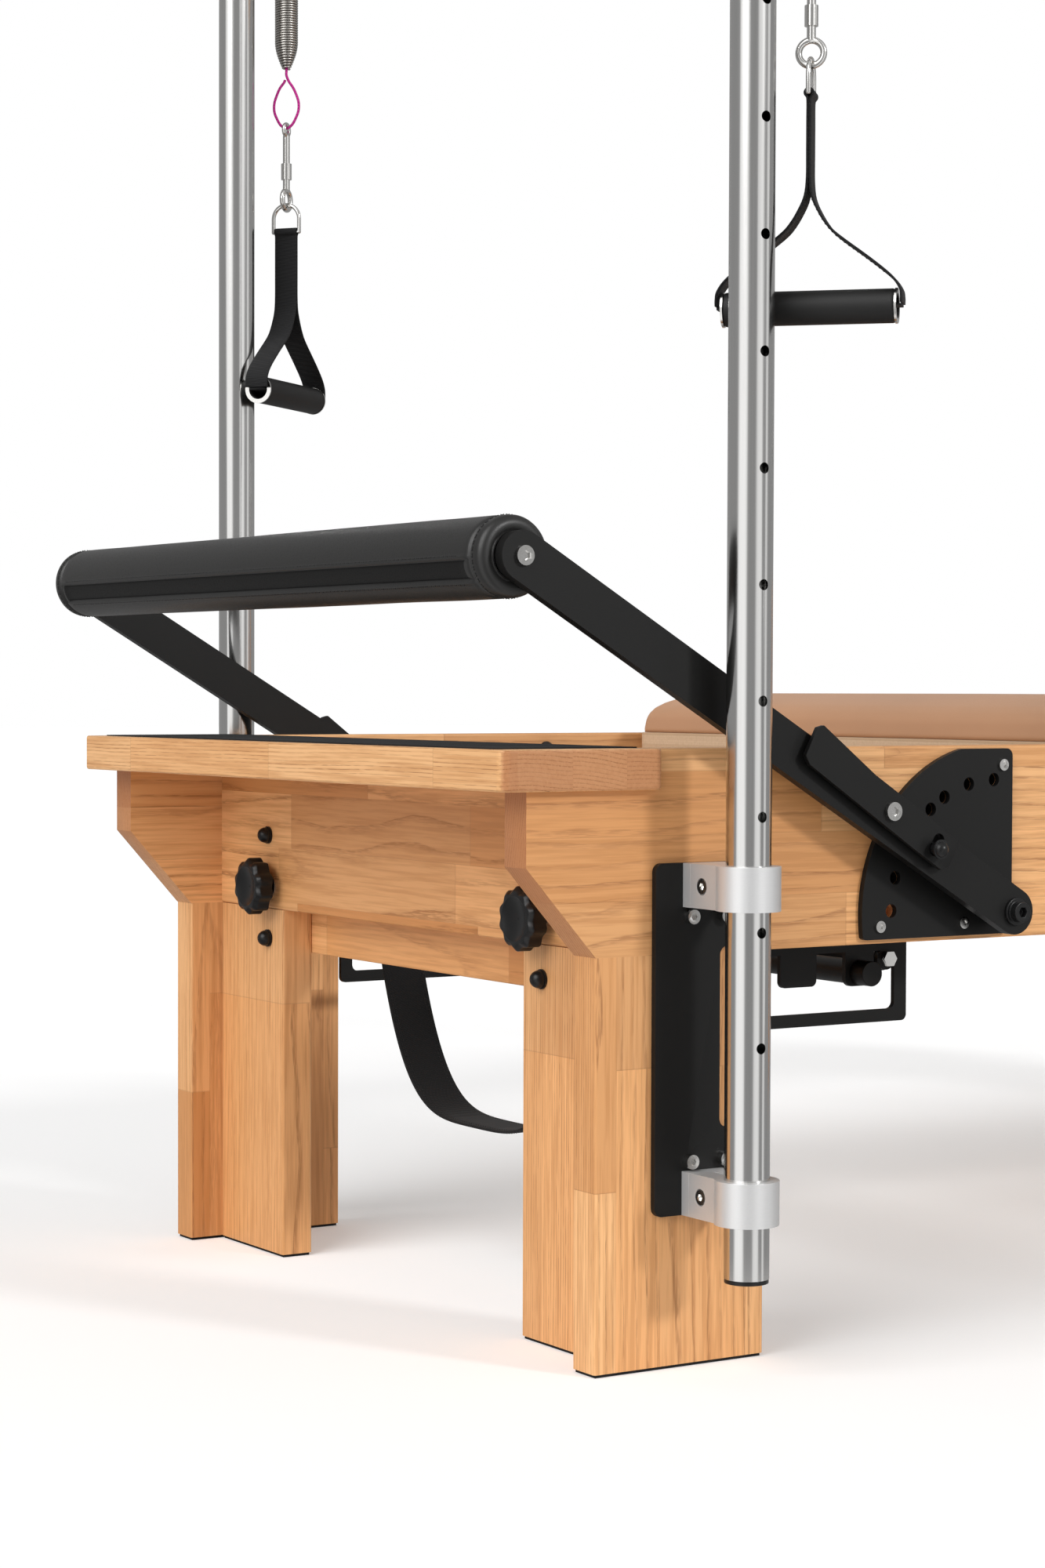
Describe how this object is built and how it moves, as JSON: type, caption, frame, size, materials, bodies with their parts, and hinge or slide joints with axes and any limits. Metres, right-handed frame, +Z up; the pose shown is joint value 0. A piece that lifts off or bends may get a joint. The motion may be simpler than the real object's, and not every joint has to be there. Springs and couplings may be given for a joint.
{
  "type": "pilates trapeze table",
  "caption": "Oak trapeze table with steel canopy, hinged footbar, sprung sliding carriage, hanging spring handles, sliding trapeze and push-through bar.",
  "frame": {"origin": "on the floor under the middle of the bed, midway between the front of the footbar's roll and the head end of the rails", "axes": "+X along the bed from the foot end to the head end, +Y across the bed to the far side, +Z up"},
  "size_m": [2.4204, 1.1016, 2.148],
  "materials": {
    "oak": "oiled, finger-jointed staves",
    "plywood": "matt, layered edge",
    "brushed_steel": "brushed along the tube",
    "bright_steel": "bright zinc and chrome",
    "aluminium": "fine matt brushing",
    "black_coat": "satin powder coat with fine grain",
    "black_plastic": "satin moulded",
    "rubber": "matt",
    "grip_tape": "gritty",
    "black_vinyl": "soft sheen, fine grain, stitched",
    "tan_vinyl": "smooth, soft sheen",
    "black_webbing": "woven",
    "magenta_cord": "braided",
    "foam": "matt foam"
  },
  "bodies": {
    "frame": {"side_rails": "oak", "cross_rails": "oak", "legs": "oak", "foot_pads": "rubber", "standing_platform": "oak", "grip_tape": "grip_tape", "post_plates": "black_coat", "post_clamps": "aluminium", "steel_screws": "bright_steel", "posts": "brushed_steel", "post_caps": "black_plastic", "canopy_tubes": "brushed_steel", "corner_fittings": "aluminium", "sector_plates": "black_coat", "cap_nuts": "black_plastic", "under_bed_brackets": "black_coat", "spring_bars": "black_coat", "track_rails": "aluminium", "carriage_stops": "rubber", "foot_strap": "black_webbing", "eye_bolts": "bright_steel", "pivot_bolts": "black_coat", "carriage_springs": "brushed_steel"},
    "footbar": {"footbar_arms": "black_coat", "footbar_core": "brushed_steel", "footbar_roll": "black_vinyl", "footbar_bolts": "bright_steel"},
    "lever_near": {"lock_lever_near": "black_coat"},
    "lever_far": {"lock_lever_far": "black_coat"},
    "pin_near": {"lock_pin_near": "black_plastic"},
    "pin_far": {"lock_pin_far": "black_plastic"},
    "knob_near": {"star_knob_near": "black_plastic"},
    "knob_far": {"star_knob_far": "black_plastic"},
    "carriage": {"carriage_board": "plywood", "carriage_pad": "tan_vinyl", "wheel_forks": "brushed_steel", "spring_anchor": "black_coat", "shoulder_brackets": "black_coat", "shoulder_pads": "tan_vinyl", "headrest_hinge": "bright_steel"},
    "wheels_foot": {"foot_wheels": "black_plastic"},
    "wheels_head": {"head_wheels": "black_plastic"},
    "headrest": {"headrest_board": "plywood", "headrest_pad": "tan_vinyl"},
    "hanger_near": {"arm_spring_near": "brushed_steel"},
    "hanger_far": {"arm_spring_far": "brushed_steel"},
    "handle_near": {"cord_loop_near": "magenta_cord", "handle_hardware_near": "bright_steel", "handle_strap_near": "black_webbing", "handle_grip_near": "foam"},
    "handle_far": {"cord_loop_far": "magenta_cord", "handle_hardware_far": "bright_steel", "handle_strap_far": "black_webbing", "handle_grip_far": "foam"},
    "slider": {"slider_bar": "brushed_steel", "slider_collars": "aluminium"},
    "trapeze": {"trapeze_straps": "black_webbing", "trapeze_bar": "oak"},
    "push_bar": {"push_bar": "brushed_steel"}
  },
  "joints": [
    {"name": "footbar_hinge", "type": "hinge", "parent": "frame", "child": "footbar", "pos_m": [-0.629, 0, 0.395], "axis": [0, -1, 0], "range_deg": [-21.2, 14.4]},
    {"name": "lock_lever_near_turn", "type": "hinge", "parent": "footbar", "child": "lever_near", "pos_m": [-0.78534, -0.456, 0.49215], "axis": [0, 1, 0], "range_deg": [0, 8]},
    {"name": "lock_pin_near_slide", "type": "slide", "parent": "footbar", "child": "pin_near", "axis": [0, 1, 0], "range_m": [0, 0.007]},
    {"name": "star_knob_near_turn", "type": "hinge", "parent": "frame", "child": "knob_near", "pos_m": [-1.038, -0.266, 0.3925], "axis": [1, 0, 0], "continuous": true},
    {"name": "lock_lever_far_turn", "type": "hinge", "parent": "footbar", "child": "lever_far", "pos_m": [-0.78534, 0.456, 0.49215], "axis": [0, 1, 0], "range_deg": [0, 8]},
    {"name": "lock_pin_far_slide", "type": "slide", "parent": "footbar", "child": "pin_far", "axis": [0, -1, 0], "range_m": [0, 0.007]},
    {"name": "star_knob_far_turn", "type": "hinge", "parent": "frame", "child": "knob_far", "pos_m": [-1.038, 0.266, 0.3925], "axis": [1, 0, 0], "continuous": true},
    {"name": "carriage_slide", "type": "slide", "parent": "frame", "child": "carriage", "axis": [1, 0, 0], "range_m": [0, 0.7], "stiffness_N_per_m": 300, "springref_m": -0.12, "deforming": ["carriage_springs"]},
    {"name": "foot_wheels_turn", "type": "hinge", "parent": "carriage", "child": "wheels_foot", "pos_m": [-0.406, 0, 0.4943], "axis": [0, 1, 0], "continuous": true},
    {"name": "head_wheels_turn", "type": "hinge", "parent": "carriage", "child": "wheels_head", "pos_m": [0.13, 0, 0.4943], "axis": [0, 1, 0], "continuous": true},
    {"name": "headrest_tilt", "type": "hinge", "parent": "carriage", "child": "headrest", "pos_m": [0.083, 0, 0.5583], "axis": [0, -1, 0], "range_deg": [0, 30]},
    {"name": "hanger_near_swing", "type": "hinge", "parent": "frame", "child": "hanger_near", "pos_m": [-0.902, -0.486, 2.075], "axis": [0, -1, 0], "range_deg": [0, 25]},
    {"name": "handle_near_pull", "type": "slide", "parent": "hanger_near", "child": "handle_near", "axis": [0, 0, -1], "range_m": [0, 0.25], "stiffness_N_per_m": 220, "springref_m": -0.06, "deforming": ["arm_spring_near"]},
    {"name": "hanger_far_swing", "type": "hinge", "parent": "frame", "child": "hanger_far", "pos_m": [-0.902, 0.486, 2.075], "axis": [0, -1, 0], "range_deg": [0, 25]},
    {"name": "handle_far_pull", "type": "slide", "parent": "hanger_far", "child": "handle_far", "axis": [0, 0, -1], "range_m": [0, 0.25], "stiffness_N_per_m": 220, "springref_m": -0.06, "deforming": ["arm_spring_far"]},
    {"name": "slider_slide", "type": "slide", "parent": "frame", "child": "slider", "axis": [1, 0, 0], "range_m": [-0.4, 0.4]},
    {"name": "trapeze_swing", "type": "hinge", "parent": "slider", "child": "trapeze", "pos_m": [0, 0, 2.074], "axis": [0, 1, 0], "range_deg": [-30, 30]},
    {"name": "push_bar_swing", "type": "hinge", "parent": "frame", "child": "push_bar", "pos_m": [0.995, 0, 1.5], "axis": [0, 1, 0], "range_deg": [-60, 60]}
  ],
  "couplings": [
    {"joint": "lock_pin_near_slide", "follows": "lock_lever_near_turn", "m_per_rad": 0.05},
    {"joint": "lock_pin_far_slide", "follows": "lock_lever_far_turn", "m_per_rad": 0.05},
    {"joint": "foot_wheels_turn", "follows": "carriage_slide", "rad_per_m": 41.667},
    {"joint": "head_wheels_turn", "follows": "carriage_slide", "rad_per_m": 41.667}
  ]
}
